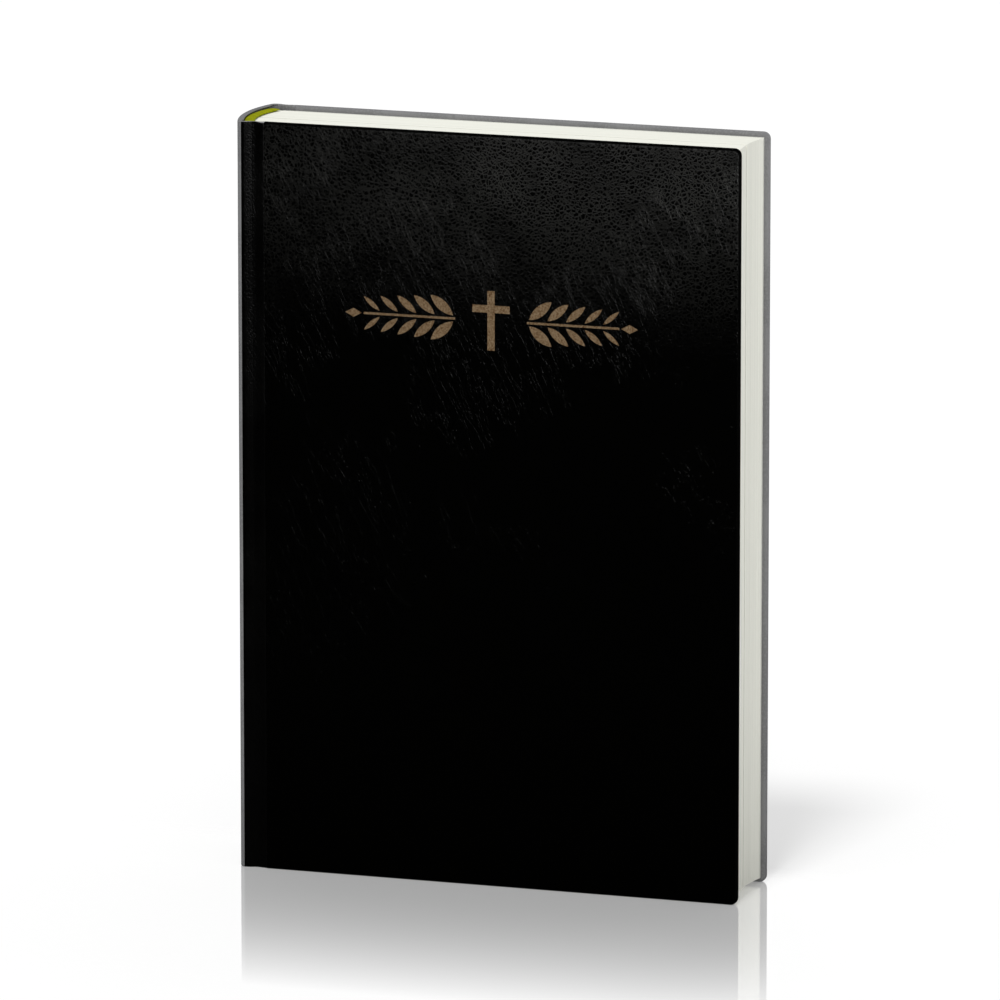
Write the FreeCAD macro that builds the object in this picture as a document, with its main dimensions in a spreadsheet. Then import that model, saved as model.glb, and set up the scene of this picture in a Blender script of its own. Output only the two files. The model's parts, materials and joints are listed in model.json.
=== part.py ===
"""Bible: a case-bound hardback book with a sewn, rounded page block, standing upright on its tail edge.

Frame: +Z up. The spine faces -X, the fore edge faces +X, the front cover faces -Y and the back cover faces +Y.
The origin is at the middle of the book's footprint, on the surface that it stands on.

How the book is made, from the outside in:
- The case: a board in each cover, leather over the board with its edges turned in, and a leather spine
  over a card stiffener. Between the spine and each board the leather dips into a hinge groove.
- The block: sixteen folded signatures, sewn through their folds. Glue, mull and a paper lining hold the
  rounded back, and a woven band covers each end of it.
- The endpapers: each is one sheet, pasted to the board on one side and free on the other.

Each cover, each flyleaf and each half of the pages turns about an upright line in its own hinge groove.
A signature bends beside its fold, so its fold strip stays with the spine and its leaves turn.
"""
import FreeCAD
import Part
import Sketcher
import math
import os
import re

DOCUMENT_NAME = "bible"
SIZES = {  # millimetres, unless the name says otherwise
    "cover_height": 215,
    "cover_width": 145.8,  # from the spine's edge to the fore edge
    "book_thickness": 30.4,
    "corner_radius": 2,  # the covers' two outer corners
    "skin_thickness": 0.35,
    "board_thickness": 1.95,
    "turn_in_width": 15,
    "turn_in_thickness": 0.2,
    "spine_bulge": 4.1,  # how far the spine stands out past its edges
    "spine_radius": 40.6,
    "spine_corner_radius": 1.8,
    "stiffener_thickness": 0.5,
    "stiffener_half_width": 13,
    "joint_start": 0.8,  # from the spine's edge to the hinge groove
    "joint_width": 5.4,
    "joint_depth": 0.9,
    "hinge_standoff": 0.15,  # from a cover's face to its hinge line
    "clearance": 0.2,  # between pieces that turn apart
    "square": 1.4,  # how far the covers overhang the pages
    "paper_thickness": 0.15,  # an endpaper
    "back_radius": 30,  # the rounded back of the pages
    "back_inset": 1.85,  # from the spine's outermost line to the folds
    "fold_strip_end": 3.9,  # from the spine's edge to where the leaves begin to turn
    "fold_relief": 0.1,
    "signature_gap": 0.04,
    "fore_edge_radius": 56,
    "fore_edge_round": 1.3,  # the depth of the hollow fore edge
    "glue_thickness": 0.2,
    "mull_thickness": 0.15,
    "mull_inset": 20,  # from head and tail to the mull
    "mull_flap_width": 24,
    "mull_flap_thickness": 0.1,
    "lining_thickness": 0.25,
    "band_width": 2.3,
    "band_height": 0.9,
    "band_skirt_height": 6,
    "band_skirt_thickness": 0.2,
    "thread_width": 0.4,
    "thread_pair_spacing": 12,
    "station_margin": 22,  # from head and tail to the first sewing station
    "ornament_centre": 73.5,  # from the spine's edge
    "ornament_level": 162.5,  # above the tail edge
    "ornament_length": 86,
    "cross_height": 17,
    "cross_width": 11,
    "cross_arm": 2.2,
    "cross_arm_drop": 5.2,  # from the cross's top to the middle of its arms
    "stem_thickness": 0.7,
    "stem_gap": 5,  # from the cross's arm to each stem
    "leaf_length": 8.6,
    "leaf_radius": 7,  # of the two arcs that bound a leaf
    "leaf_angle_degrees": 40,
    "leaf_standoff": 0.5,
    "lozenge_length": 5,
    "lozenge_width": 2.6,
    "foil_thickness": 0.08,
    "foil_recess": 0.15,
}
SIGNATURES_PER_HALF = 8
SEWING_STATIONS = 5
LEAF_PAIRS = 5

# Derived places, as expressions in the sheet's names.
HALF = "(book_thickness / 2)"
SPINE_EDGE = "((spine_bulge - cover_width) / 2)"
FORE_EDGE = "((spine_bulge + cover_width) / 2)"
SPINE_CENTRE = f"({SPINE_EDGE} - spine_bulge + spine_radius)"
HINGE = f"({SPINE_EDGE} + joint_start + joint_width / 2)"
BOARD_START = f"({SPINE_EDGE} + joint_start + joint_width + 2 * clearance)"
JOINT_RADIUS = "((joint_width ^ 2 / 4 + joint_depth ^ 2) / (2 * joint_depth))"
BOARD_INNER = "(skin_thickness + board_thickness)"
COVER_THICKNESS = f"({BOARD_INNER} + turn_in_thickness)"
FLYLEAF_DEPTH = f"({COVER_THICKNESS} + paper_thickness + clearance)"
PAGES_DEPTH = f"({FLYLEAF_DEPTH} + paper_thickness + clearance)"
PAGE_HALF = f"({HALF} - {PAGES_DEPTH})"
PITCH = f"(({PAGE_HALF} - clearance) / {SIGNATURES_PER_HALF})"
LEAF_START = f"({SPINE_EDGE} + fold_strip_end + clearance)"
PAGE_END = f"({FORE_EDGE} - square)"
PAGE_BOTTOM = "square"
PAGE_TOP = "(cover_height - square)"
BACK_CENTRE = f"({SPINE_EDGE} - spine_bulge + back_inset + back_radius)"
MULL_RADIUS = "(back_radius + glue_thickness)"
LINING_RADIUS = f"({MULL_RADIUS} + mull_thickness)"
SKIRT_RADIUS = f"({LINING_RADIUS} + lining_thickness)"

doc = FreeCAD.newDocument(DOCUMENT_NAME)
sheet = doc.addObject("Spreadsheet::Sheet", "Sizes")
for row, (alias, number) in enumerate(SIZES.items(), start=1):
    sheet.set(f"A{row}", alias.replace("_", " "))
    sheet.set(f"B{row}", str(number))
    sheet.setAlias(f"B{row}", alias)
doc.recompute()

sub_parts = []


def bound(text):
    """The expression with each of the sheet's names in full."""
    names = re.compile(r"[a-z]\w*")
    return names.sub(lambda word: f"Sizes.{word[0]}" if word[0] in SIZES else word[0], text)


def value(text):
    """The number that an expression gives."""
    return float(sheet.evalExpression(bound(text)))


def bind(item, **expressions):
    """Binds properties to expressions; place_x, place_y, place_z and turn set the placement."""
    paths = {
        "place_x": "Placement.Base.x",
        "place_y": "Placement.Base.y",
        "place_z": "Placement.Base.z",
        "turn": "Placement.Rotation.Angle",
    }
    for name, text in expressions.items():
        item.setExpression(paths.get(name, name), bound(text))


def keep(item, label):
    """Names an object and lists it as a sub-part."""
    item.Label = label
    sub_parts.append(item)
    return item


# ---- building blocks ----------------------------------------------------------------------------


def block(name, x, y, z):
    """A flat sheet or slab between a low and a high expression on each axis."""
    box = doc.addObject("Part::Box", name)
    bind(
        box,
        Length=f"{x[1]} - ({x[0]})",
        Width=f"{y[1]} - ({y[0]})",
        Height=f"{z[1]} - ({z[0]})",
        place_x=x[0],
        place_y=y[0],
        place_z=z[0],
    )
    return box


def layer(sign, depth):
    """The Y range of a layer at a depth range below the outer face of the front (-1) or back (+1) cover."""
    ends = [f"({sign} * ({HALF} - {each}))" for each in depth]
    return ends if sign < 0 else ends[::-1]


def cut(name, base, tool):
    result = doc.addObject("Part::Cut", name)
    result.Base = base
    result.Tool = tool
    return result


def fuse(name, *pieces):
    result = doc.addObject("Part::MultiFuse", name)
    result.Shapes = list(pieces)
    return result


def group(name, pieces):
    """Separate solids of one kind, kept as one sub-part."""
    result = doc.addObject("Part::Compound", name)
    result.Links = list(pieces)
    return result


def arc_shell(name, centre, radii, half_angle, facing, z):
    """A curved upright sheet: a sector of a tube, whose middle faces the angle facing about +Z."""
    low, high = z
    outer = doc.addObject("Part::Cylinder", f"{name}_outer")
    inner = doc.addObject("Part::Cylinder", f"{name}_inner")
    height = f"{high} - ({low})"
    place = {"place_x": centre[0], "place_y": centre[1], "place_z": low}
    bind(outer, Radius=radii[1], Height=height, Angle=f"2 * {half_angle}", turn=f"{facing} - {half_angle}", **place)
    bind(inner, Radius=radii[0], Height=height, **place)
    return cut(name, outer, inner)


def back_shell(name, radii, z):
    """A curved sheet on the rounded back of the pages, as wide as the pages are thick."""
    half_angle = f"asin({PAGE_HALF} / back_radius)"
    return arc_shell(name, (BACK_CENTRE, "0"), radii, half_angle, "180deg", z)


def origin_plane(body, role):
    return next(plane for plane in body.Origin.OriginFeatures if plane.Role == role)


def new_sketch(body, name, role):
    sketch = body.newObject("Sketcher::SketchObject", name)
    sketch.AttachmentSupport = [(origin_plane(body, role), "")]
    sketch.MapMode = "FlatFace"
    return sketch


def add_constraint(sketch, name, expression, *arguments):
    """A dimension with a name, bound to the sheet."""
    index = sketch.addConstraint(Sketcher.Constraint(*arguments, value(expression)))
    sketch.renameConstraint(index, name)
    sketch.setExpression(f"Constraints.{name}", bound(expression))


# ---- the case -----------------------------------------------------------------------------------


def rounded_panel(name, x, z, thickness, radius, middle_y):
    """An upright panel across Y, with its two fore edge corners rounded."""
    body = doc.addObject("PartDesign::Body", name)
    sketch = new_sketch(body, f"{name}_outline", "XZ_Plane")
    corners = [(value(x[i]), value(z[k])) for i, k in ((0, 0), (1, 0), (1, 1), (0, 1))]
    for i in range(4):
        (ax, az), (bx, bz) = corners[i], corners[(i + 1) % 4]
        sketch.addGeometry(Part.LineSegment(FreeCAD.Vector(ax, az, 0), FreeCAD.Vector(bx, bz, 0)))
    for i in range(4):
        sketch.addConstraint(Sketcher.Constraint("Coincident", i, 2, (i + 1) % 4, 1))
        sketch.addConstraint(Sketcher.Constraint("Horizontal" if i % 2 == 0 else "Vertical", i))
    add_constraint(sketch, "spine_side", x[0], "DistanceX", -1, 1, 0, 1)
    add_constraint(sketch, "fore_side", x[1], "DistanceX", -1, 1, 1, 1)
    add_constraint(sketch, "tail_side", z[0], "DistanceY", -1, 1, 0, 1)
    add_constraint(sketch, "head_side", z[1], "DistanceY", -1, 1, 2, 1)
    pad = body.newObject("PartDesign::Pad", f"{name}_pad")
    pad.Profile = sketch
    pad.Midplane = True
    bind(pad, Length=thickness)
    doc.recompute()
    corner_edges = [
        f"Edge{i}"
        for i, edge in enumerate(pad.Shape.Edges, start=1)
        if abs(edge.tangentAt(edge.FirstParameter).y) > 0.99 and edge.CenterOfMass.x > 0
    ]
    rounding = body.newObject("PartDesign::Fillet", f"{name}_corners")
    rounding.Base = (pad, corner_edges)
    bind(rounding, Radius=radius)
    bind(body, place_y=middle_y)
    return body


def cover(side, sign, ornament_recess=None):
    """One cover: its board, leather, mull flap and pasted-down endpaper."""
    board = rounded_panel(
        f"{side}_board",
        (BOARD_START, f"({FORE_EDGE} - skin_thickness)"),
        ("skin_thickness", "(cover_height - skin_thickness)"),
        "board_thickness",
        "corner_radius - skin_thickness",
        f"{sign} * ({HALF} - skin_thickness - board_thickness / 2)",
    )
    keep(board, f"{side}_board")

    form = rounded_panel(
        f"{side}_cover_form",
        (BOARD_START, FORE_EDGE),
        ("0", "cover_height"),
        COVER_THICKNESS,
        "corner_radius",
        f"{sign} * ({HALF} - {COVER_THICKNESS} / 2)",
    )
    window_x = [BOARD_START, f"({FORE_EDGE} - turn_in_width)"]
    window_z = ["turn_in_width", "(cover_height - turn_in_width)"]
    window = block(f"{side}_window", window_x, layer(sign, (BOARD_INNER, COVER_THICKNESS)), window_z)
    wrap = cut(f"{side}_wrap", form, board)
    skin = cut(f"{side}_leather", wrap, window)
    if ornament_recess:
        skin = cut(f"{side}_stamped_leather", skin, ornament_recess)
    keep(skin, f"{side}_cover_skin")

    flap_x = [BOARD_START, f"({BOARD_START} + mull_flap_width)"]
    flap_z = ["mull_inset", "(cover_height - mull_inset)"]
    flap_depth = (BOARD_INNER, f"({BOARD_INNER} + mull_flap_thickness)")
    flap = keep(block(f"{side}_flap", flap_x, layer(sign, flap_depth), flap_z), f"{side}_mull_flap")

    # The endpaper lies over the turn-ins and the mull, and sinks onto the board between them.
    inner_face = f"({COVER_THICKNESS} + paper_thickness)"
    sunk_face = f"({BOARD_INNER} + paper_thickness)"
    over_turn_ins = block(
        f"{side}_paste_margin",
        [BOARD_START, PAGE_END],
        layer(sign, (COVER_THICKNESS, inner_face)),
        [PAGE_BOTTOM, PAGE_TOP],
    )
    in_window = block(f"{side}_paste_window", window_x, layer(sign, (BOARD_INNER, inner_face)), window_z)
    hollow = block(
        f"{side}_paste_hollow",
        [f"({BOARD_START} - 1)", f"({window_x[1]} - paper_thickness)"],
        layer(sign, (sunk_face, f"({inner_face} + 1)")),
        [f"({window_z[0]} + paper_thickness)", f"({window_z[1]} - paper_thickness)"],
    )
    over_mull = block(
        f"{side}_paste_mull",
        [BOARD_START, f"({flap_x[1]} + paper_thickness)"],
        layer(sign, (BOARD_INNER, f"({sunk_face} + mull_flap_thickness)")),
        [f"({flap_z[0]} - paper_thickness)", f"({flap_z[1]} + paper_thickness)"],
    )
    sunk = cut(f"{side}_paste_sunk", fuse(f"{side}_paste_whole", over_turn_ins, in_window), hollow)
    pasted = cut(f"{side}_paste", fuse(f"{side}_paste_raised", sunk, over_mull), flap)
    keep(pasted, f"{side}_pastedown")


def spine_form(name, inset, overrun):
    """The spine's rounded outline as a solid, inset from its outer face."""
    body = doc.addObject("PartDesign::Body", name)
    sketch = new_sketch(body, f"{name}_outline", "XY_Plane")
    centre = value(SPINE_CENTRE)
    radius = value(f"spine_radius - {inset}")
    half = value(f"{HALF} - {inset}")
    end_text = f"({SPINE_EDGE} + joint_start - 1.5 * clearance + {overrun})"
    end = value(end_text)
    lean = math.asin(half / radius)
    start = centre - radius * math.cos(lean)
    circle = Part.Circle(FreeCAD.Vector(centre, 0, 0), FreeCAD.Vector(0, 0, 1), radius)
    sketch.addGeometry(Part.ArcOfCircle(circle, math.pi - lean, math.pi + lean))
    outline = [(start, -half), (end, -half), (end, half), (start, half)]
    for (ax, ay), (bx, by) in zip(outline, outline[1:]):
        sketch.addGeometry(Part.LineSegment(FreeCAD.Vector(ax, ay, 0), FreeCAD.Vector(bx, by, 0)))
    for first, first_end, second, second_end in ((0, 2, 1, 1), (1, 2, 2, 1), (2, 2, 3, 1), (3, 2, 0, 1)):
        sketch.addConstraint(Sketcher.Constraint("Coincident", first, first_end, second, second_end))
    sketch.addConstraint(Sketcher.Constraint("Horizontal", 1))
    sketch.addConstraint(Sketcher.Constraint("Vertical", 2))
    sketch.addConstraint(Sketcher.Constraint("Horizontal", 3))
    sketch.addConstraint(Sketcher.Constraint("PointOnObject", 0, 3, -1))
    add_constraint(sketch, "round_radius", f"spine_radius - {inset}", "Radius", 0)
    add_constraint(sketch, "round_centre", f"-{SPINE_CENTRE}", "DistanceX", 0, 3, -1, 1)
    add_constraint(sketch, "front_side", f"{HALF} - {inset}", "DistanceY", 1, 1, -1, 1)
    add_constraint(sketch, "back_side", f"{HALF} - {inset}", "DistanceY", -1, 1, 3, 1)
    add_constraint(sketch, "joint_side", f"-{end_text}", "DistanceX", 1, 2, -1, 1)
    pad = body.newObject("PartDesign::Pad", f"{name}_pad")
    pad.Profile = sketch
    bind(pad, Length="cover_height")
    doc.recompute()
    shoulder_edges = [
        f"Edge{i}"
        for i, edge in enumerate(pad.Shape.Edges, start=1)
        if edge.BoundBox.ZLength > 1 and abs(edge.CenterOfMass.x - start) < 0.01
    ]
    rounding = body.newObject("PartDesign::Fillet", f"{name}_shoulders")
    rounding.Base = (pad, shoulder_edges)
    bind(rounding, Radius=f"spine_corner_radius - {inset}")
    return body


def spine():
    """The leather over the back, the card that stiffens it, and the leather in the two hinge grooves."""
    outer = spine_form("spine_outer", "0", "0")
    inner = spine_form("spine_inner", "skin_thickness", "1")
    keep(cut("spine_leather", outer, inner), "spine_skin")
    card_radius = "(spine_radius - skin_thickness)"
    card = arc_shell(
        "spine_card",
        (SPINE_CENTRE, "0"),
        (f"({card_radius} - stiffener_thickness)", card_radius),
        f"asin(stiffener_half_width / {card_radius})",
        "180deg",
        ("skin_thickness", "(cover_height - skin_thickness)"),
    )
    keep(card, "spine_stiffener")
    for side, sign, facing in (("front", -1, "90deg"), ("back", 1, "270deg")):
        groove = arc_shell(
            f"{side}_groove",
            (HINGE, f"{sign} * ({HALF} + {JOINT_RADIUS} - joint_depth)"),
            (JOINT_RADIUS, f"({JOINT_RADIUS} + skin_thickness)"),
            f"asin(joint_width / 2 / {JOINT_RADIUS})",
            facing,
            ("0", "cover_height"),
        )
        keep(groove, f"{side}_joint_skin")


# ---- the stamped ornament -----------------------------------------------------------------------


def add_outline(sketch, points):
    """A closed outline of straight lines."""
    for start, end in zip(points, points[1:] + points[:1]):
        sketch.addGeometry(Part.LineSegment(FreeCAD.Vector(*start, 0), FreeCAD.Vector(*end, 0)))


def add_leaf(sketch, x, z, angle, length, radius):
    """A leaf between two arcs, from its base at x, z towards the angle."""
    along = FreeCAD.Vector(math.cos(angle), math.sin(angle), 0)
    across = FreeCAD.Vector(-along.y, along.x, 0)
    base = FreeCAD.Vector(x, z, 0)
    tip = base + along * length
    bow = radius - math.sqrt(radius**2 - length**2 / 4)
    middle = (base + tip) * 0.5
    for bend in (bow, -bow):
        sketch.addGeometry(Part.Arc(base, middle + across * bend, tip))


def ornament_outline(sketch):
    """A small cross between two sprigs, in outline, about the origin."""
    across = value("cross_width") / 2
    arm = value("cross_arm") / 2
    top = value("cross_height") / 2
    arms = top - value("cross_arm_drop")
    right = [(arm, -top), (arm, arms - arm), (across, arms - arm), (across, arms + arm), (arm, arms + arm), (arm, top)]
    left = [(-x, z) for x, z in reversed(right)]
    add_outline(sketch, right + left)

    stem_start = across + value("stem_gap")
    lozenge = value("lozenge_length")
    stem_end = value("ornament_length") / 2 - lozenge - value("leaf_standoff")
    half_stem = value("stem_thickness") / 2
    half_lozenge = value("lozenge_width") / 2
    off_stem = half_stem + value("leaf_standoff")
    angle = math.radians(value("leaf_angle_degrees"))
    spacing = (stem_end - stem_start) / LEAF_PAIRS
    for way in (-1, 1):
        stem = [(stem_start, -half_stem), (stem_end, -half_stem), (stem_end, half_stem), (stem_start, half_stem)]
        add_outline(sketch, [(way * x, z) for x, z in stem])
        tip = value("ornament_length") / 2
        ends = [(tip - lozenge, 0), (tip - lozenge / 2, -half_lozenge), (tip, 0), (tip - lozenge / 2, half_lozenge)]
        add_outline(sketch, [(way * x, z) for x, z in ends])
        for pair in range(LEAF_PAIRS):
            taper = 1 - 0.07 * pair
            x = stem_start + spacing * (pair + 0.12)
            for up in (-1, 1):
                lean = up * angle if way > 0 else math.pi - up * angle
                length = value("leaf_length") * taper
                add_leaf(sketch, way * x, up * off_stem, lean, length, value("leaf_radius"))


def stamping(name, outer_depth, inner_depth):
    """The ornament as solids between two depths below the front cover's face."""
    sketch = doc.addObject("Sketcher::SketchObject", f"{name}_outline")
    ornament_outline(sketch)
    sketch.Placement.Rotation = FreeCAD.Rotation(FreeCAD.Vector(1, 0, 0), 90)
    bind(
        sketch,
        place_x=f"{SPINE_EDGE} + ornament_centre",
        place_y=f"-({HALF} - ({outer_depth}))",
        place_z="ornament_level",
    )
    solid = doc.addObject("Part::Extrusion", name)
    solid.Base = sketch
    solid.DirMode = "Custom"
    solid.Dir = FreeCAD.Vector(0, 1, 0)
    solid.Solid = True
    bind(solid, LengthFwd=f"{inner_depth} - ({outer_depth})")
    return solid


# ---- the page block -----------------------------------------------------------------------------


def signatures():
    """Sixteen folded signatures: the fold strips stay with the spine and the leaves turn."""
    trim = doc.addObject("Part::Cylinder", "fore_edge_trim")
    bind(
        trim,
        Radius="fore_edge_radius",
        Height="cover_height",
        place_x=f"{PAGE_END} - fore_edge_round + fore_edge_radius",
    )
    folds = []
    for number in range(1, 2 * SIGNATURES_PER_HALF + 1):
        from_middle = number - SIGNATURES_PER_HALF - 0.5  # signatures from the middle of the block, signed
        side = -1 if from_middle < 0 else 1
        middle = f"({side} * clearance + ({from_middle}) * {PITCH})"
        half = f"(({PITCH} - signature_gap) / 2)"
        y = [f"({middle} - {half})", f"({middle} + {half})"]
        z = [PAGE_BOTTOM, PAGE_TOP]
        name = f"signature_{number:02d}"
        leaves = block(f"{name}_untrimmed", [LEAF_START, f"({PAGE_END} + 1)"], y, z)
        keep(cut(f"{name}_leaves", leaves, trim), name)

        nose_x = f"({BACK_CENTRE} - sqrt(back_radius ^ 2 - ({middle}) ^ 2) + fold_relief + {half})"
        strip = block(f"{name}_strip", [nose_x, f"({SPINE_EDGE} + fold_strip_end)"], y, z)
        nose = doc.addObject("Part::Cylinder", f"{name}_nose")
        bind(nose, Radius=half, Height=f"{z[1]} - {z[0]}", place_x=nose_x, place_y=middle, place_z=z[0])
        folds.append(fuse(f"{name}_fold", strip, nose))
    keep(group("folds", folds), "signature_folds")


def back_linings():
    """Thread, glue, mull and paper on the rounded back, and a band at each end of it."""
    first = "station_margin"
    step = f"((cover_height - 2 * station_margin) / {SEWING_STATIONS - 1})"
    threads = []
    glue_starts = [PAGE_BOTTOM]
    glue_ends = []
    glue_radii = ("back_radius", MULL_RADIUS)
    for station in range(SEWING_STATIONS):
        for offset in ("-", "+"):
            level = f"({first} + {station} * {step} {offset} thread_pair_spacing / 2)"
            ends = (f"({level} - thread_width / 2)", f"({level} + thread_width / 2)")
            threads.append(back_shell(f"thread_{len(threads) + 1}", glue_radii, ends))
            glue_ends.append(ends[0])
            glue_starts.append(ends[1])
    glue_ends.append(PAGE_TOP)
    keep(group("threads", threads), "sewing_thread")
    films = [back_shell(f"glue_{i + 1}", glue_radii, ends) for i, ends in enumerate(zip(glue_starts, glue_ends))]
    keep(group("glue_films", films), "spine_glue")
    keep(
        back_shell("mull_cloth", (MULL_RADIUS, LINING_RADIUS), ("mull_inset", "(cover_height - mull_inset)")),
        "spine_mull",
    )
    keep(back_shell("lining_paper", (LINING_RADIUS, SKIRT_RADIUS), (PAGE_BOTTOM, PAGE_TOP)), "spine_lining")

    skirt_outer = f"({SKIRT_RADIUS} + band_skirt_thickness)"
    for label, edge, way in (("headband", PAGE_TOP, 1), ("tailband", PAGE_BOTTOM, -1)):
        bead_ends = (edge, f"({edge} + {way} * band_height)")[::way]
        skirt_ends = (f"({edge} - {way} * band_skirt_height)", edge)[::way]
        bead = back_shell(f"{label}_bead", ("(back_radius - band_width)", skirt_outer), bead_ends)
        skirt = back_shell(f"{label}_skirt", (SKIRT_RADIUS, skirt_outer), skirt_ends)
        keep(fuse(f"{label}_weave", bead, skirt), label)


def flyleaf(side, sign):
    """The free half of an endpaper."""
    depth = (FLYLEAF_DEPTH, f"({FLYLEAF_DEPTH} + paper_thickness)")
    sheet_of_paper = block(f"{side}_free_leaf", [LEAF_START, PAGE_END], layer(sign, depth), [PAGE_BOTTOM, PAGE_TOP])
    keep(sheet_of_paper, f"{side}_flyleaf")


# ---- the whole book -----------------------------------------------------------------------------

foil_top = "(foil_recess - foil_thickness)"
recess = stamping("ornament_recess", "(-1)", "foil_recess")
keep(stamping("ornament_foil", foil_top, "foil_recess"), "cover_ornament")
cover("front", -1, recess)
cover("back", 1)
spine()
signatures()
back_linings()
flyleaf("front", -1)
flyleaf("back", 1)
doc.recompute()

failed = [item.Name for item in doc.Objects if {"Invalid", "Error"} & set(item.State)]
if failed:
    raise RuntimeError(f"these objects did not compute: {failed}")
for item in sub_parts:
    shape = item.Shape
    if shape.isNull() or not shape.isValid() or not shape.Solids:
        raise RuntimeError(f"{item.Label} has no sound solid")

os.makedirs("parts", exist_ok=True)
for item in sub_parts:
    item.Shape.exportStep(f"parts/{item.Label}.step")
    box = item.Shape.BoundBox
    print(
        f"{item.Label}: {len(item.Shape.Solids)} solid(s), {item.Shape.Volume:.1f} mm3, "
        f"x {box.XMin:.2f} {box.XMax:.2f}, y {box.YMin:.2f} {box.YMax:.2f}, z {box.ZMin:.2f} {box.ZMax:.2f}"
    )
hinge_y = value(f"{HALF} + hinge_standoff")
print(f"{len(sub_parts)} sub-parts; hinge lines at x {value(HINGE):.3f}, y -{hinge_y:.3f} and {hinge_y:.3f}")
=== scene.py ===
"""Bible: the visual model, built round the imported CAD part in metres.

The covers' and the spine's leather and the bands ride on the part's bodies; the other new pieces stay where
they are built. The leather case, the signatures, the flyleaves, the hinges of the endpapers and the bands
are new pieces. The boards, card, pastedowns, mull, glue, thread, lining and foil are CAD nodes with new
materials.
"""
import bpy
import bmesh
import json
import math
import random
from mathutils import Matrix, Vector

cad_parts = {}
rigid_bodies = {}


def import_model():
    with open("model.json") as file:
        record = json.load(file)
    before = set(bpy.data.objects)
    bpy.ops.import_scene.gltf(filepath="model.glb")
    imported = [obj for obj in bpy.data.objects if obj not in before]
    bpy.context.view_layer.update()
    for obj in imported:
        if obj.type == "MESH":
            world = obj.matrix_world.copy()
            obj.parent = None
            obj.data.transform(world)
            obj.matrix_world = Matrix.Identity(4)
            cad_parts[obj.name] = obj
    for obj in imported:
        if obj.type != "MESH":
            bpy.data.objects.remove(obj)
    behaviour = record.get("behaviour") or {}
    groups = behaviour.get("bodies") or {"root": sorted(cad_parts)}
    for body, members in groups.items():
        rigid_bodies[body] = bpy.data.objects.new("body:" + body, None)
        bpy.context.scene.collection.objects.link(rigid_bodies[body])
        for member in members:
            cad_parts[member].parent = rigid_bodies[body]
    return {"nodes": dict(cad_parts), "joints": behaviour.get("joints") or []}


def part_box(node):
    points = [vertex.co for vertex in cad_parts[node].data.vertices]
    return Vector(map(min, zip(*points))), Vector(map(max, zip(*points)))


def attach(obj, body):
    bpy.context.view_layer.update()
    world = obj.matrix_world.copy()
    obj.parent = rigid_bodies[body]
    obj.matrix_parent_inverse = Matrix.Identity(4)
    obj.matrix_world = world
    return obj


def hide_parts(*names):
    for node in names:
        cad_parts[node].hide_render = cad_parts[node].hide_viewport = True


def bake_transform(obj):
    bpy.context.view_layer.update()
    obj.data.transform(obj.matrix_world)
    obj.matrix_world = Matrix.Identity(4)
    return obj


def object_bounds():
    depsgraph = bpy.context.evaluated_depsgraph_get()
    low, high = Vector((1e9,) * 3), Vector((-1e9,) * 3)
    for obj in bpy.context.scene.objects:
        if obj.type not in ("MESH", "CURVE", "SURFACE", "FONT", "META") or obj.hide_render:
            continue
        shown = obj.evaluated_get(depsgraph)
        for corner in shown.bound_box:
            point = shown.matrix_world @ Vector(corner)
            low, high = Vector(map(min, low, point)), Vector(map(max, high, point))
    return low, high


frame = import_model()
cad_low, cad_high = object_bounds()
scene = bpy.context.scene
MM = 0.001
SIDES = {"front": -1, "back": 1}  # the sign of y on each side of the book

# Places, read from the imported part.
skin_low, skin_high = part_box("front_cover_skin")
spine_low, spine_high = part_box("spine_skin")
folds_low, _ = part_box("signature_folds")
pages_low, pages_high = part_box("signature_01")
hinge = next(Vector(j["pos_m"]) for j in frame["joints"] if j["name"] == "front_cover_open")
COVER_START, FORE_EDGE = skin_low.x, skin_high.x
TAIL, HEAD = skin_low.z, skin_high.z
HALF = -skin_low.y  # half the book's thickness
COVER_THICKNESS = skin_high.y - skin_low.y
SPINE_END = spine_high.x
PAGES_END = pages_high.x
PAGES_HALF = -pages_low.y

# Sizes that a box can't give, as in the CAD.
SPINE_RADIUS = 40.6 * MM
SPINE_CENTRE = spine_low.x + SPINE_RADIUS
SHOULDER = 1.8 * MM
SPINE_THICKNESS = 1.05 * MM
GROOVE_DEPTH = 0.9 * MM
GROOVE_HALF_WIDTH = 3.0 * MM
CORNER_RADIUS = 2 * MM
BACK_RADIUS = 30 * MM  # of the pages' rounded back
BACK_CENTRE = folds_low.x + BACK_RADIUS
FORE_EDGE_RADIUS = 56 * MM

# The leather.
LEATHER = 0.2 * MM
TURN_IN = 14 * MM
EDGE_RADIUS = 0.8 * MM
LEAST_CORNER = 0.3 * MM
FACE_INSET = EDGE_RADIUS + 0.4 * MM  # from an edge to where the flat face starts
GROOVE_LEATHER = 0.6 * MM  # at the floor of the groove, where the leather is folded over itself
CAP_HEIGHT = 0.5 * MM  # of the spine's cap, which reaches over its band
CAP_STEP = 0.1 * MM
CAP_LIP = 0.75 * MM
LEAST_LIP = 0.01 * MM
CAP_FADE = 1.5 * MM  # the cap narrows over this much at each side
STAMP_CLEARANCE = 0.3 * MM
FLAT = 0.9999  # the least share of a flat face's normal that points outwards
LEATHER_ANGLE = 50  # in degrees: a sharper edge isn't smoothed
SPINE_CUT = SPINE_END + 1.2 * MM  # where the groove's leather passes from one strip
HINGE_CUT = hinge.x - 0.7 * MM  # to the next
EDGE_STEPS, CORNER_STEPS, SHOULDER_STEPS, BACK_STEPS = 4, 8, 8, 14
PROFILE_POINTS = 15  # of a turned-in edge
INNER_POINTS = 11  # of those, the faces from the cut edge to where the outside starts
LINING_ROWS = 6  # rows of a cover's faces that are on its inside
FACE_ROW = PROFILE_POINTS - 3  # the first row that has its outer face's look
SPINE_PAINTED_SHEEN_START = 2  # stations of the spine before its grey painted sheen starts
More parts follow.
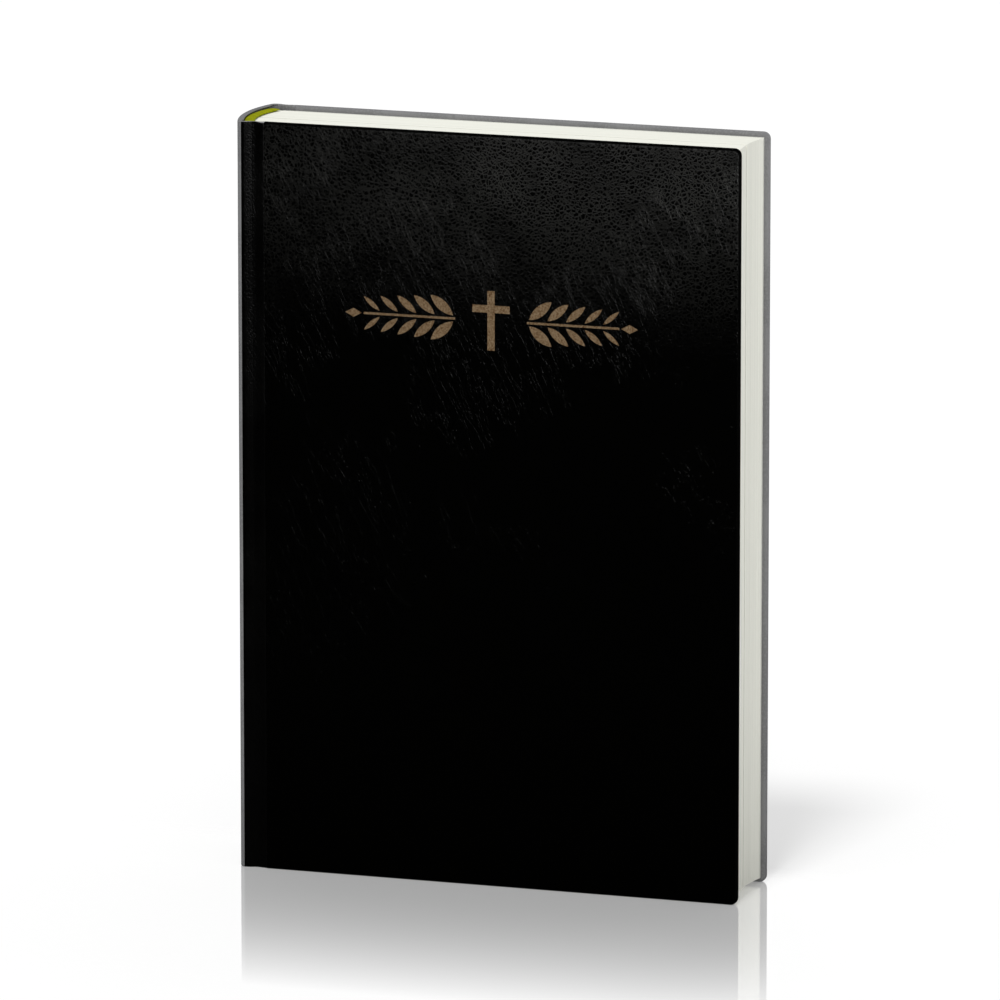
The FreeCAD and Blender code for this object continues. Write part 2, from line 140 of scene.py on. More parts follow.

# The pages and endpapers.
SIGNATURES = 16
LEAVES = 12  # ridges in each signature's edges
VALLEY, SCATTER = 0.035, 0.02  # millimetres between the ridges, and by which they differ
HEAD_DIP = 0.8  # how deep that is at head and tail, as a share of the fore edge's
PAGE_STATIONS, PAGE_CROWDING = 30, 1.6  # along a signature, closer together near the fold
LEAF_STATIONS, LEAF_CROWDING = 48, 1.5
LEAF_TUCK = 1.2 * MM  # how far the flyleaf reaches into the fold
FOLD_STEPS = 24
FOLD_THICKNESS = 0.1 * MM
FOLD_START = 0.1 * MM
LEAF_GAP, PASTE_GAP = 0.13 * MM, 0.08 * MM  # from the flyleaf's and the pastedown's middle to the fold
SEED = 7

# The head and tail bands.
BEAD_WIDTH, BEAD_HEIGHT, BEAD_SETBACK = 2.9 * MM, 0.9 * MM, 0.45 * MM
BEAD_SIDES = 14
BEAD_END, BEAD_RISE = 0.35, 6  # its height at its ends, and how fast it grows to the whole
WRAPS, STEPS_PER_WRAP, WRAP_DEPTH = 58, 6, 0.10
BAND_MARGIN = 0.15 * MM
SKIRT = 0.2 * MM
SKIRT_STEPS = 60

# Colours.
BLACK, SOFT_BLACK = (0.0005, 0.0005, 0.0004), (0.0014, 0.0014, 0.0012)
# Painted sheen: a lighter colour on the covers' faces that stands in for raking light near the head.
FACE_PAINTED_SHEEN = (0.026, 0.026, 0.0238)
# Grey of the turned-in margins; on the back cover's edges the same grey is painted sheen for grazing
# reflection.
RIM_GREY_AND_PAINTED_SHEEN_DARK, RIM_GREY_AND_PAINTED_SHEEN_LIGHT = (0.205, 0.205, 0.209), (0.245, 0.245, 0.249)
# Painted sheen on the spine's back: grey that stands in for light on the black leather.
SPINE_PAINTED_SHEEN_DARK, SPINE_PAINTED_SHEEN_LIGHT = (0.165, 0.165, 0.168), (0.2, 0.2, 0.202)
PAGE = (0.96, 0.963, 0.875)
FOIL_SPECK, FOIL_DARK, FOIL_LIGHT = (0.13, 0.06, 0.02), (0.19, 0.112, 0.05), (0.36, 0.255, 0.15)
FOIL_EDGE = 0.12 * MM

# The leather's relief. A scale is in waves or cells per millimetre.
DRIFT_SCALE, PEBBLE_SCALE, PORE_SCALE = 0.6, 0.95, 2.4
CREASES = ((24, 0.05, 0.7), (12, 0.08, 0.35))  # slant in degrees, scale along the crease, strength
CREASE_SCALE, CREASE_PATCHES = 0.3, 0.035
# Where the covers' faces get painted sheen, a painted highlight that grows towards the head.
FACE_PAINTED_SHEEN_FROM, FACE_PAINTED_SHEEN_TO = 62, 8  # millimetres below the head
FACE_PAINTED_SHEEN_LEFT, FACE_PAINTED_SHEEN_RIGHT = -70.0, 20.0  # millimetres along x
FACE_PAINTED_SHEEN_PATCHES = 0.06

# The stage.
CAMERA_ANGLES = (18.05, 12.03)
CAMERA_DISTANCE = 3.0614
CAMERA_AIM = (0.0005, -0.0005, 0.0008)
CAMERA_FIELD = 5.259
SENSOR_WIDTH = 36  # Blender's own, in millimetres
SKY_LIGHT = 0.57
GLOSS_LIGHT = 0.0
KEY_LIGHT, KEY_SPREAD = 1.5, 10.7
KEY_DIRECTION = (0, -0.446, 0.895)
# Lamps for the leather's gloss: x, height above the head, width and power.
SHEEN_LAMPS = {"over": (0.03, 20 * MM, 0.2, 0.0175), "beside": (0.15, 0, 0.05, 0.028)}
SHEEN_HEIGHT = 0.05
SHEEN_STANDOFF = 90 * MM
SHEEN_TARGET = (0.02, 0, HEAD - 20 * MM)
FLOOR_SIZE = 40
FLOOR_PAINT = 0.56
FLOOR_GLOW = 0.47
MIRROR_REACH = 0.125
MIRROR_STRENGTH = 0.57
MIRROR_FADE = 2.2


# ---------------------------------------------------------------- mesh helpers

def grid_faces(rows, columns, first=0):
    """Quads between the points of a grid that is stored row by row."""
    return [
        (first + r * columns + c, first + r * columns + c + 1,
         first + (r + 1) * columns + c + 1, first + (r + 1) * columns + c)
        for r in range(rows - 1)
        for c in range(columns - 1)
    ]


def piece(name, points, faces, materials, angle=40, looks=None):
    """A new mesh object, smooth but for edges sharper than the angle. looks picks each face's material."""
    mesh = bpy.data.meshes.new(name)
    mesh.from_pydata([tuple(p) for p in points], [], faces)
    for material in materials:
        mesh.materials.append(material)
    if looks:
        mesh.polygons.foreach_set("material_index", looks)
    made = bpy.data.objects.new(name, mesh)
    scene.collection.objects.link(made)
    tidy(made, angle)
    return made


def tidy(made, angle=40):
    """Merges points that meet, turns the faces outwards and marks the sharp edges."""
    work = bmesh.new()
    work.from_mesh(made.data)
    bmesh.ops.remove_doubles(work, verts=work.verts, dist=1e-7)
    bmesh.ops.recalc_face_normals(work, faces=work.faces)
    work.to_mesh(made.data)
    work.free()
    smooth(made, angle)


def smooth(made, angle):
    made.data.shade_smooth()
    made.data.set_sharp_from_angle(angle=math.radians(angle))


def apply_modifiers(made):
    """Replaces the object's mesh with what its modifiers make of it."""
    graph = bpy.context.evaluated_depsgraph_get()
    mesh = bpy.data.meshes.new_from_object(made.evaluated_get(graph))
    made.modifiers.clear()
    made.data = mesh


def keep_rest(made):
    """Stores where each point is at rest, so that the textures stay put when the piece bends."""
    flat = [number for v in made.data.vertices for number in v.co]
    made.data.attributes.new("rest", "FLOAT_VECTOR", "POINT").data.foreach_set("vector", flat)


def finish_piece(made, replaced=(), body=None):
    """Stores a finished piece's rest points, hides the nodes it replaces, and puts it on its body or bakes
    it in place.
    """
    keep_rest(made)
    if replaced:
        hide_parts(*replaced)
    if body:
        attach(made, body)
    else:
        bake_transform(made)


# ------------------------------------------------------------------- materials

class Look:
    """A material's node tree, made by short calls round its Principled shader."""

    def __init__(self, name, **sockets):
        self.material = bpy.data.materials.new(name)
        self.material.use_nodes = True
        self.tree = self.material.node_tree
        self.shader = self.tree.nodes["Principled BSDF"]
        self.fill(self.shader, sockets)

    def fill(self, node, sockets):
        """Sets or links a node's sockets by name, with _ for each space."""
        for name, given in sockets.items():
            self.give(node.inputs[name.replace("_", " ")], given)

    def give(self, socket, given):
        """Links another node's output to the socket, or sets its constant."""
        if isinstance(given, bpy.types.NodeSocket):
            self.tree.links.new(given, socket)
        else:
            socket.default_value = given

    def node(self, kind, settings=None, out=0, **sockets):
        """A new node's output."""
        made = self.tree.nodes.new("ShaderNode" + kind)
        for name, setting in (settings or {}).items():
            setattr(made, name, setting)
        self.fill(made, sockets)
        return made.outputs[out]

    def place(self, bent=True, scale=(1, 1, 1), turn=(0, 0, 0)):
        """Rest coordinates in millimetres, scaled and turned."""
        if bent:
            at = self.node("Attribute", {"attribute_name": "rest"}, out="Vector")
        else:
            at = self.node("TexCoord", out="Object")
        if any(turn):
            at = self.node("Mapping", Vector=at, Rotation=tuple(math.radians(t) for t in turn))
        return self.node("Mapping", Vector=at, Scale=tuple(1000 * s for s in scale))

    def part(self, vector, axis):
        """One coordinate of a vector."""
        return self.node("SeparateXYZ", Vector=vector, out=axis)

    def math(self, operation, a, b=0.5, c=0.5, clamp=False):
        made = self.tree.nodes.new("ShaderNodeMath")
        made.operation, made.use_clamp = operation, clamp
        for socket, given in zip(made.inputs, (a, b, c)):
            self.give(socket, given)
        return made.outputs[0]

    def vector_math(self, operation, *given):
        made = self.tree.nodes.new("ShaderNodeVectorMath")
        made.operation = operation
        for socket, vector in zip(made.inputs, given):
            self.give(socket, vector)
        return made.outputs[0]

    def range(self, number, low, high, to_low=0.0, to_high=1.0):
        """A soft step from to_low to to_high as the number goes from low to high."""
        return self.node(
            "MapRange", {"interpolation_type": "SMOOTHSTEP"}, Value=number,
            From_Min=low, From_Max=high, To_Min=to_low, To_Max=to_high)

    def noise(self, at, scale=1.0, detail=2.0, rough=0.5):
        return self.node("TexNoise", Vector=at, Scale=scale, Detail=detail, Roughness=rough)

    def colour(self, factor, *stops):
        """A colour ramp between two stops of (position, (r, g, b))."""
        made = self.tree.nodes.new("ShaderNodeValToRGB")
        for element, (position, rgb) in zip(made.color_ramp.elements, stops):
            element.position, element.color = position, (*rgb, 1)
        self.tree.links.new(factor, made.inputs[0])
        return made.outputs[0]

    def bump(self, height, depth, strength=1.0):
        """Gives the shader a bump of that depth in metres."""
        made = self.node("Bump", Height=height, Distance=depth, Strength=strength)
        self.fill(self.shader, {"Normal": made})

    def base(self, colour):
        self.fill(self.shader, {"Base_Color": colour})


def painted_sheen_share(look, at, painted_sheen_lines):
    """How much painted sheen shows, a painted highlight: most towards the head and the fore edge, in soft
    patches.
    """
    up = look.range(look.part(at, "Z"), (HEAD - FACE_PAINTED_SHEEN_FROM * MM) / MM, (HEAD - FACE_PAINTED_SHEEN_TO * MM) / MM)
    right = look.range(look.part(at, "X"), FACE_PAINTED_SHEEN_LEFT, FACE_PAINTED_SHEEN_RIGHT, 0.5, 1.0)
    cloud = look.range(look.noise(at, FACE_PAINTED_SHEEN_PATCHES), 0.3, 0.6, 0.5, 1.0)
    return look.math("MULTIPLY", look.math("MULTIPLY", up, right), look.math("MULTIPLY", painted_sheen_lines, cloud))


def leather_look(name, dark, light, specular, roughness=0.4, grain=0.06, painted_sheen=False):
    """Bonded leather: pebbled grain, fine pores and long slanting creases, grain millimetres deep.
    With painted sheen, the light colour is a painted highlight, only between the pebbles and along the
    creases."""
    look = Look(name, Specular_IOR_Level=specular, Roughness=roughness)
    at = look.place()
    drift = look.noise(at, DRIFT_SCALE)
    shift = look.node("CombineXYZ", X=drift, Y=drift, Z=drift)
    drifted = look.vector_math("MULTIPLY_ADD", at, (1, 1, 1), shift)
    pebbles = look.node("TexVoronoi", {"feature": "DISTANCE_TO_EDGE"}, Vector=drifted, Scale=PEBBLE_SCALE)
    domes = look.range(pebbles, 0.0, 0.3)
    pores = look.noise(at, PORE_SCALE)
    height = look.math("MULTIPLY_ADD", domes, 0.6, look.math("MULTIPLY", pores, 0.5))
    # Painted highlight lines between the pebbles, where raking light would catch; the creases add more
    # below.
    painted_sheen_lines = look.range(pebbles, 0.03, 0.16, 0.6, 0.0)
    for turn, along, strength in CREASES:
        slanted = look.place(turn=(0, turn, 0), scale=(CREASE_SCALE, CREASE_SCALE, along))
        veins = look.math("ABSOLUTE", look.math("SUBTRACT", look.noise(slanted, 1.0, 4, 0.6), 0.5))
        patch = look.range(look.noise(at, CREASE_PATCHES), 0.42, 0.6, 0.0, strength)
        height = look.math("MULTIPLY_ADD", look.range(veins, 0.0, 0.03), patch, height)
        crease = look.math("MULTIPLY", look.range(veins, 0.0, 0.014, 1.0, 0.0), patch)
        painted_sheen_lines = look.math("MULTIPLY_ADD", crease, 0.9, painted_sheen_lines)
    look.bump(height, grain * MM)
    # Painted sheen on the pebbles' edges and the creases, standing in for raking light; otherwise grain
    # tone.
    if painted_sheen:
        look.base(look.colour(painted_sheen_share(look, at, painted_sheen_lines), (0.0, dark), (1.0, light)))
    else:
        look.base(look.colour(height, (0.35, dark), (1.3, light)))
    return look.material


def paper_look(name, colour):
    """Paper seen on its edges: fine lines between the leaves and soft bands of tone."""
    shade = 0.9
    across = (0.02, 9, 0.02)
    look = Look(name, Roughness=0.75, Specular_IOR_Level=0.2)
    lines = look.noise(look.place(scale=across), 1.0, 2, 0.6)
    bands = look.noise(look.place(scale=tuple(s / 9 for s in across)))
    tone = look.math("MULTIPLY_ADD", lines, 0.5, look.math("MULTIPLY", bands, 0.5))
    darker = tuple(c * shade for c in colour)
    look.base(look.colour(tone, (0.3, darker), (0.62, colour)))
    look.bump(lines, 0.02 * MM, 0.5)
    return look.material


def fibre_look(name, dark, light, scale=2.0, roughness=0.85, depth=0.02, bent=False):
    """Board, card, plain paper or glue: mottled, with short fibres."""
    look = Look(name, Roughness=roughness, Specular_IOR_Level=0.25)
    cloud = look.noise(look.place(bent, scale=(scale, scale, scale)), 1.0, 5, 0.65)
    fibres = look.noise(look.place(bent, scale=(scale * 4, scale * 4, scale)))
    tone = look.math("MULTIPLY_ADD", cloud, 0.7, look.math("MULTIPLY", fibres, 0.3))
    look.base(look.colour(tone, (0.3, dark), (0.7, light)))
    look.bump(tone, depth * MM, 0.6)
    return look.material


def weave_look(name, dark, light):
    """Open cotton cloth: two crossing sets of threads."""
    look = Look(name, Roughness=0.9, Specular_IOR_Level=0.1)
    at = look.place(False)
    warp, weft = (
        look.node("TexWave", {"bands_direction": direction}, out="Fac", Vector=at,
                  Scale=1.2, Distortion=0.4, Detail=1.0, Detail_Scale=0.5)
        for direction in ("X", "Z")
    )
    height = look.math("MAXIMUM", warp, weft)
    look.base(look.colour(height, (0.3, dark), (0.8, light)))
    look.bump(height, 0.05 * MM, 0.8)
    return look.material


def foil_look():
    """Stamped foil: bronze that takes the leather's grain, with darker specks of wear."""
    look = Look("gold_foil_look", Metallic=0.45, Roughness=0.32)
    at = look.place(False)
    grain = look.noise(at, 2.2, 3, 0.6)
    sound = look.range(look.noise(at, 1.6, 4, 0.7), 0.38, 0.44)
    tone = look.colour(grain, (0.38, FOIL_DARK), (0.62, FOIL_LIGHT))
    mixed = look.tree.nodes.new("ShaderNodeMix")
    mixed.data_type = "RGBA"
    for index, given in ((0, sound), (6, (*FOIL_SPECK, 1)), (7, tone)):
        look.give(mixed.inputs[index], given)
    look.base(mixed.outputs[2])
    look.bump(grain, 0.05 * MM, 0.7)
    return look.material


def thread_look(name, dark, light, bent=True):
    """Silky band thread: its colour varies from thread to thread."""
    look = Look(name, Roughness=0.55, Specular_IOR_Level=0.1)
    stripes = look.noise(look.place(bent, scale=(0.2, 2.0, 0.2)), 1.0, 1, 0.5)
    fuzz = look.noise(look.place(bent, scale=(9, 9, 9)), 1.0, 2, 0.6)
    tone = look.math("MULTIPLY_ADD", stripes, 0.75, look.math("MULTIPLY", fuzz, 0.25))
    look.base(look.colour(tone, (0.38, dark), (0.6, light)))
    look.bump(fuzz, 0.03 * MM, 0.5)
    return look.material


# The covers' faces carry painted sheen: a lighter colour near the head that stands in for raking light.
face_leather = leather_look("case_leather_face", BLACK, FACE_PAINTED_SHEEN, 0.45, 0.2, 0.11, painted_sheen=True)
spine_face = leather_look("spine_leather_face", BLACK, SOFT_BLACK, 0.6, 0.25, 0.04)
# The spine's back carries painted sheen: grey in place of light on black leather.
spine_painted_sheen = leather_look("spine_leather_painted_sheen", SPINE_PAINTED_SHEEN_DARK, SPINE_PAINTED_SHEEN_LIGHT, 0.2, 0.45, 0.04)
joint_face = leather_look("joint_leather_face", BLACK, SOFT_BLACK, 0.7, 0.38, 0.1)
edge_leather = leather_look("case_leather_edge", BLACK, SOFT_BLACK, 0.12)
# Grey turned-in margins; on the back cover's edges this grey is painted sheen.
turned_grey_and_painted_sheen = leather_look("case_leather_turned_in_grey_and_painted_sheen", RIM_GREY_AND_PAINTED_SHEEN_DARK, RIM_GREY_AND_PAINTED_SHEEN_LIGHT, 0.1, 0.5, 0.02)
page_paper = paper_look("bible_paper_look", PAGE)
leaf_paper = fibre_look("flyleaf_look", (0.86, 0.86, 0.80), (0.92, 0.92, 0.86), bent=True)
paste_paper = fibre_look("pastedown_look", (0.86, 0.86, 0.80), (0.92, 0.92, 0.86))
grey_board = fibre_look("greyboard_look", (0.22, 0.21, 0.20), (0.36, 0.35, 0.33), 1.2)
manila_card = fibre_look("spine_card_look", (0.45, 0.38, 0.28), (0.58, 0.5, 0.38), 1.5)
kraft_paper = fibre_look("lining_paper_look", (0.30, 0.21, 0.13), (0.42, 0.31, 0.20), 1.5)
dried_glue = fibre_look("glue_look", (0.62, 0.58, 0.46), (0.78, 0.74, 0.62), 0.8, 0.35, 0.05)
mull_cloth = weave_look("mull_cloth_look", (0.42, 0.40, 0.34), (0.75, 0.73, 0.65))
sewing_thread = thread_look("sewing_thread_look", (0.7, 0.68, 0.6), (0.85, 0.84, 0.78), bent=False)
band_thread = thread_look("band_cloth_look", (0.24, 0.26, 0.001), (0.34, 0.365, 0.002))
foil = foil_look()


# ------------------------------------------------------------ the leather case

def wrap_profile(thickness, lip=0.0):
    """(inset, depth) points round a turned-in edge, from the cut edge inside to the outer face.
    A lip is how far the edge reaches over what lies behind it, as the spine's cap does over its band."""
    radius = min(EDGE_RADIUS, thickness / 2)
    inner_radius = CAP_HEIGHT / 2 if lip else radius
    reach = thickness + lip
    turns = [math.radians(90 * i / EDGE_STEPS) for i in range(EDGE_STEPS + 1)]
    inner = [
        (inner_radius - inner_radius * math.sin(a), reach - inner_radius + inner_radius * math.cos(a))
        for a in turns
    ]
    outer = [(radius - radius * math.cos(a), radius - radius * math.sin(a)) for a in turns]
    flat = (FACE_INSET, thickness)
    rise = [(CAP_HEIGHT + CAP_STEP, thickness), (CAP_HEIGHT, reach - inner_radius)] if lip else [flat, flat]
    return [(TURN_IN, thickness), flat, *rise, *inner, *outer, (FACE_INSET, 0)]


def thicken(made, outward):
    """Gives a sheet of leather its thickness, on the side away from the outward direction."""
    biggest = max(made.data.polygons, key=lambda p: p.area)
    if biggest.normal.dot(Vector(outward)) < 0:
        made.data.flip_normals()
    solid = made.modifiers.new("leather", "SOLIDIFY")
    solid.thickness, solid.offset = LEATHER, -1
    solid.use_even_offset = True
    apply_modifiers(made)


def leather_strip(name, stations, outward, face, back=None):
    """Leather along stations of (x, y, inward x, inward y, thickness, lip), turned in at head and tail.
    Its outer face has one look at the ends and can have another along its back; on the spine that is grey
    painted sheen."""
    points = []
    for x, y, inward_x, inward_y, thickness, lip in stations:
        profile = wrap_profile(thickness, lip)
        column = [(TAIL + inset, depth) for inset, depth in profile]
        column += [(HEAD - inset, depth) for inset, depth in reversed(profile)]
        points += [(x + inward_x * d, y + inward_y * d, z) for z, d in column]
    rows = len(stations)
    columns = len(points) // rows
    looks = []
    for r in range(rows - 1):
        outside = 2 if back and SPINE_PAINTED_SHEEN_START <= r < rows - 1 - SPINE_PAINTED_SHEEN_START else 0
        lining = [1] * INNER_POINTS
        looks += lining + [outside] * (columns - 1 - 2 * INNER_POINTS) + lining
    materials = [face, turned_grey_and_painted_sheen, back or face]
    made = piece(name, points, grid_faces(rows, columns), materials, LEATHER_ANGLE, looks)
    thicken(made, outward)
    return made


def spine_stations():
    """The spine's section, from its front edge round the shoulder and the back to its rear edge."""
    centre_y = HALF - SHOULDER
    centre_x = SPINE_CENTRE - math.sqrt((SPINE_RADIUS - SHOULDER) ** 2 - centre_y ** 2)
    turn = math.asin(centre_y / (SPINE_RADIUS - SHOULDER))
    half = [(SPINE_END, -HALF, 0, 1)]
    for i in range(SHOULDER_STEPS + 1):
        a = math.pi / 2 + (turn - math.pi / 2) * i / SHOULDER_STEPS
        half.append((centre_x - SHOULDER * math.cos(a), -centre_y - SHOULDER * math.sin(a),
                     math.cos(a), math.sin(a)))
    for i in range(1, BACK_STEPS + 1):
        a = turn * (1 - i / BACK_STEPS)
        half.append((SPINE_CENTRE - SPINE_RADIUS * math.cos(a), -SPINE_RADIUS * math.sin(a),
                     math.cos(a), math.sin(a)))
    rear = [(x, -y, inward_x, -inward_y) for x, y, inward_x, inward_y in reversed(half[:-1])]
    stations = []
    for x, y, inward_x, inward_y in half + rear:
        share = min(1, max(0, (HALF - CAP_FADE - abs(y)) / CAP_FADE))
        stations.append((x, y, inward_x, inward_y, SPINE_THICKNESS, LEAST_LIP + CAP_LIP * share))
    return stations


def groove_depth(x):
    """How far the hinge groove's leather lies below the cover's face."""
    share = min(1, abs(x - hinge.x) / GROOVE_HALF_WIDTH)
    return GROOVE_DEPTH * math.cos(share * math.pi / 2) ** 2


def groove_stations(side, start, end, count):
    """Stations across part of the groove, where the leather is folded over itself at head and tail."""
    stations = []
    for i in range(count + 1):
        x = start + (end - start) * i / count
        across = (x - SPINE_END) / (COVER_START - SPINE_END)
        inner = SPINE_THICKNESS + (COVER_THICKNESS - SPINE_THICKNESS) * across ** 3
        middle = GROOVE_DEPTH + GROOVE_LEATHER
        inner += (middle - inner) * groove_depth(x) / GROOVE_DEPTH
        depth = groove_depth(x)
        stations.append((x, side * (HALF - depth), 0, -side, inner - depth, 0))
    return stations


def outline(inset):
    """The cover's outline drawn in by inset: from the hinge side along the tail, fore edge and head."""
    radius = max(CORNER_RADIUS - inset, LEAST_CORNER)
    reach = inset + radius
    points = [(COVER_START, TAIL + inset)]
    for centre_z, first in ((TAIL + reach, -90), (HEAD - reach, 0)):
        for i in range(CORNER_STEPS + 1):
            a = math.radians(first + 90 * i / CORNER_STEPS)
            points.append((FORE_EDGE - reach + radius * math.cos(a), centre_z + radius * math.sin(a)))
    return points + [(COVER_START, HEAD - inset)]


def cover_leather(side_name, side):
    """A cover's leather: its face, its edges and the turned-in margin on the inside."""
    profile = wrap_profile(COVER_THICKNESS)
    rings = [outline(inset) for inset, depth in profile]
    points = [
        (x, side * (HALF - depth), z)
        for ring, (inset, depth) in zip(rings, profile)
        for x, z in ring
    ]
    rows, columns = len(rings), len(rings[0])
    faces = grid_faces(rows, columns)
    faces.append(tuple(range(columns * (rows - 1), columns * rows)))
    looks = []
    for r in range(rows - 1):
        looks += [2 if r < LINING_ROWS else 1 if r < FACE_ROW else 0] * (columns - 1)
    # The back cover's edges take the grey as painted sheen; the front cover's edges stay black.
    materials = [face_leather, turned_grey_and_painted_sheen if side > 0 else edge_leather, turned_grey_and_painted_sheen]
    made = piece(f"{side_name}_cover_leather", points, faces, materials, LEATHER_ANGLE, looks + [0])
    thicken(made, (0, side, 0))
    return made


def flatten(made, side):
    """Shades the cover's flat face as flat, because the stamping leaves it in long thin parts."""
    for polygon in made.data.polygons:
        inset = min(FORE_EDGE - polygon.center.x, polygon.center.z - TAIL, HEAD - polygon.center.z)
        if side * polygon.normal.y > FLAT and inset > FACE_INSET:
            polygon.use_smooth = False


def stamp(made):
    """Presses the ornament's shape into the front cover, as deep as the foil's back."""
    cutter_mesh = frame["nodes"]["cover_ornament"].data.copy()
    foil_low, foil_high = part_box("cover_ornament")
    middle = (foil_low.y + foil_high.y) / 2
    for vertex in cutter_mesh.vertices:
        if vertex.co.y < middle:
            vertex.co.y = -HALF - STAMP_CLEARANCE
    cutter = bpy.data.objects.new("ornament_cutter", cutter_mesh)
    scene.collection.objects.link(cutter)
    tidy(cutter)
    cut = made.modifiers.new("stamp", "BOOLEAN")
    cut.operation, cut.solver, cut.object = "DIFFERENCE", "EXACT", cutter
    cut.material_mode = "INDEX"
    apply_modifiers(made)
    bpy.data.objects.remove(cutter)


def make_cover(side_name, side):
    """The leather of a cover, and of the hinge groove beside it, in three strips."""
    cover = cover_leather(side_name, side)
    if side < 0:
        stamp(cover)
    smooth(cover, LEATHER_ANGLE)
    flatten(cover, side)
    finish_piece(cover, [f"{side_name}_cover_skin"], body=f"{side_name}_cover")
    for part_name, first, second, start, end, count in (
            ("inner", "spine", f"{side_name}_pages", SPINE_END, SPINE_CUT, 8),
            ("middle", f"{side_name}_pages", f"{side_name}_leaf", SPINE_CUT, HINGE_CUT, 8),
            ("outer", f"{side_name}_leaf", f"{side_name}_cover", HINGE_CUT, COVER_START, 16)):
        stations = groove_stations(side, start, end, count)
        strip = leather_strip(f"{side_name}_joint_leather_{part_name}", stations, (0, side, 0), joint_face)
        finish_piece(strip, [f"{side_name}_joint_skin"])


def make_case():
    spine = leather_strip("spine_leather", spine_stations(), (-1, 0, 0), spine_face, spine_painted_sheen)
    finish_piece(spine, ["spine_skin"], body="spine")
    for side_name, side in SIDES.items():
        make_cover(side_name, side)


# --------------------------------------------------------------------- the block

def fore_edge(y):
    """Where the hollow fore edge of the pages is."""
    deepest = PAGES_END - (FORE_EDGE_RADIUS - math.sqrt(FORE_EDGE_RADIUS ** 2 - PAGES_HALF ** 2))
    return deepest + FORE_EDGE_RADIUS - math.sqrt(FORE_EDGE_RADIUS ** 2 - y * y)


def leaf_edges(low, high, chance):
    """(y, start, end, dip) of each ridge and valley in a signature's edges."""
    middle, half = (low.y + high.y) / 2, (high.y - low.y) / 2
    nose = BACK_CENTRE - math.sqrt(BACK_RADIUS ** 2 - middle ** 2)
    edges = []
    for r in range(2 * LEAVES + 1):
        y = low.y + (high.y - low.y) * r / (2 * LEAVES)
        dip = (VALLEY if r % 2 == 0 else SCATTER * chance.random()) * MM
        start = nose + half - math.sqrt(max(0, half ** 2 - (y - middle) ** 2))
        edges.append((y, start, fore_edge(y) - dip, dip * HEAD_DIP))
    return edges


def signature(number, chance):
    """One folded signature, from its fold to the fore edge, with each leaf's edge a ridge."""
    node = f"signature_{number:02d}"
    low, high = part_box(node)
    edges = leaf_edges(low, high, chance)
    rows, columns = len(edges), PAGE_STATIONS + 1
    points = []
    for z_edge, direction in ((low.z, 1), (high.z, -1)):
        for y, start, end, dip in edges:
            for i in range(columns):
                x = start + (end - start) * (i / PAGE_STATIONS) ** PAGE_CROWDING
                points.append((x, y, z_edge + direction * dip))
    top = rows * columns
    faces = grid_faces(rows, columns) + grid_faces(rows, columns, top)
    for r in range(rows - 1):
        for column in (0, PAGE_STATIONS):  # the fold and the fore edge
            a, b = r * columns + column, (r + 1) * columns + column
            faces.append((a, b, b + top, a + top))
    for r in (0, rows - 1):  # the outer leaves
        for a in range(r * columns, r * columns + PAGE_STATIONS):
            faces.append((a, a + 1, a + 1 + top, a + top))
    made = piece(node + "_leaves", points, faces, [page_paper], 60)
    replaced = [node] + (["signature_folds"] if number == 1 else [])
    finish_piece(made, replaced)


def sheet_strip(name, section, low_z, high_z, thickness):
    """A sheet of paper along a section of (x, y) points, of that thickness."""
    points, faces = [], []
    count = len(section)
    for z in (low_z, high_z):
        for shift in (-thickness / 2, thickness / 2):
            points += [(x, y + shift, z) for x, y in section]
    for i in range(count - 1):
        for a, b in ((0, 1), (1, 3), (3, 2), (2, 0)):
            faces.append((a * count + i, a * count + i + 1, b * count + i + 1, b * count + i))
    for i in (0, count - 1):
        faces.append((i, count + i, 3 * count + i, 2 * count + i))
    return piece(name, points, faces, [leaf_paper])


def flyleaf(side_name):
    """The free half of an endpaper."""
    low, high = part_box(f"{side_name}_flyleaf")
    middle = (low.y + high.y) / 2
    start = low.x - LEAF_TUCK
    section = [
        (start + (high.x - start) * (i / LEAF_STATIONS) ** LEAF_CROWDING, middle)
        for i in range(LEAF_STATIONS + 1)
    ]
    leaf = sheet_strip(f"{side_name}_flyleaf_sheet", section, low.z, high.z, high.y - low.y)
    finish_piece(leaf, [f"{side_name}_flyleaf"])


def endpaper_fold(side_name, side):
    """The fold that joins the flyleaf to the pastedown in the hinge."""
    low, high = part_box(f"{side_name}_flyleaf")
    paste_low, paste_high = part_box(f"{side_name}_pastedown")
    leaf_y = side * (abs((low.y + high.y) / 2) + LEAF_GAP)
    paste_y = side * (min(abs(paste_low.y), abs(paste_high.y)) + PASTE_GAP)
    section = []
    for i in range(FOLD_STEPS + 1):
        t = i / FOLD_STEPS
        section.append((low.x + FOLD_START + (paste_low.x - low.x) * t, leaf_y + (paste_y - leaf_y) * t))
    fold = sheet_strip(f"{side_name}_endpaper_hinge", section, low.z, high.z, FOLD_THICKNESS)
    finish_piece(fold)


def on_back(radial, angle, z):
    """A point at that radius and angle round the pages' rounded back."""
    return BACK_CENTRE - radial * math.cos(angle), radial * math.sin(angle), z


